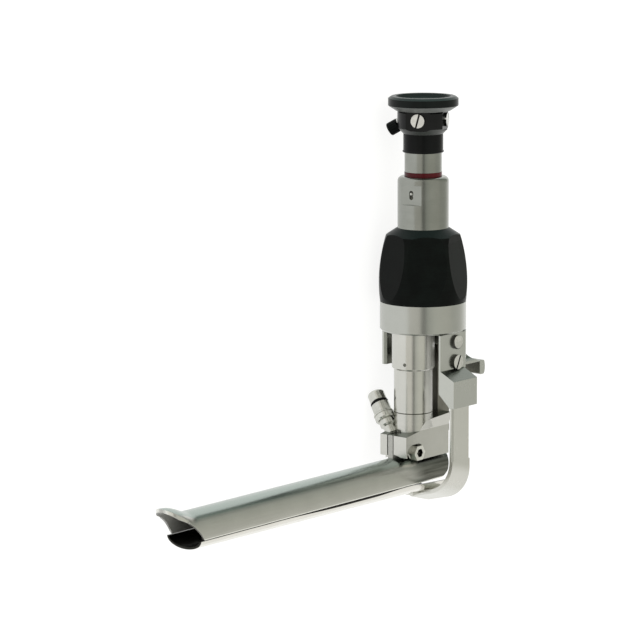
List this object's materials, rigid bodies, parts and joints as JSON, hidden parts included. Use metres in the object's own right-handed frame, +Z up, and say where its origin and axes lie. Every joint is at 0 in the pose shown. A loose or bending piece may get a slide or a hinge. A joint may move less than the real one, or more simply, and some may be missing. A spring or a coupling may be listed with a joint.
{
  "type": "mediastinoscope",
  "caption": "Angled mediastinoscope with an upper half-tube blade, a lower spreading blade on a side bar, thumb lever, black grip, light post and eyepiece.",
  "frame": {"origin": "middle of the bounding box's footprint, on the surface that the instrument lies on", "axes": "+Y up the handle to the eyepiece, -X along the blades to their tips, +Z up, which is the instrument's left side as it lies on its right"},
  "size_m": [0.2008, 0.1884, 0.0471],
  "materials": {
    "satin_steel": "satin stainless steel",
    "satin_steel_inner": "satin stainless steel",
    "bright_steel": "fine turned steel",
    "column_steel": "ground steel",
    "optic_steel": "drawn tube",
    "black_grip": "satin black",
    "black_plastic": "satin black",
    "black_metal": "black anodised",
    "red_ring": "dark red enamel",
    "black_rubber": "matt",
    "fibre_bundle": "sheathed glass fibre",
    "glass": "clear, coated"
  },
  "bodies": {
    "instrument": {"upper_blade": "satin_steel", "prism_block": "satin_steel", "clamp_bolt": "bright_steel", "clamp_washer": "bright_steel", "clamp_nut": "bright_steel", "main_tube": "satin_steel", "tube_socket": "satin_steel", "support_ring": "satin_steel", "grip": "black_grip", "upper_body": "satin_steel", "index_pin": "bright_steel", "code_ring": "red_ring", "marking_ring": "bright_steel", "eyepiece_sleeve": "black_metal", "eyepiece_collar": "black_metal", "collar_screws": "bright_steel", "knob_washer": "bright_steel", "eyepiece_cup": "black_plastic", "eyepiece_window": "glass", "ocular_tube": "black_metal", "ocular_lens": "glass", "offset_prism": "glass", "prism_mount": "black_metal", "guide_column": "column_steel", "post_base": "satin_steel", "post_sleeve": "satin_steel", "post_seal": "black_rubber", "post_cap": "bright_steel", "relay_tube": "optic_steel", "relay_lens": "glass", "distal_tube": "optic_steel", "distal_window": "glass", "distal_lens": "glass", "corner_prism": "glass", "light_guide": "fibre_bundle"},
    "carriage": {"yoke": "satin_steel", "lever_screws": "bright_steel", "stop_pins": "bright_steel", "lever_spring": "bright_steel", "carrier_bar": "satin_steel", "lower_blade": "satin_steel_inner"},
    "lever": {"thumb_lever": "satin_steel"},
    "knob": {"lock_knob": "black_metal"}
  },
  "joints": [
    {"name": "blade_spread", "type": "slide", "parent": "instrument", "child": "carriage", "axis": [0, -1, 0], "range_m": [0, 0.01]},
    {"name": "lever_press", "type": "hinge", "parent": "carriage", "child": "lever", "pos_m": [0.0762, -0.02682, 0.02215], "axis": [0, 0, -1], "range_deg": [0, 12], "stiffness_Nm_per_rad": 0.05, "springref_deg": -9.74},
    {"name": "knob_turn", "type": "hinge", "parent": "instrument", "child": "knob", "pos_m": [0.06873, 0.08158, 0.01298], "axis": [-0.3796, -0.5, -0.7784], "range_deg": [0, 180]}
  ]
}
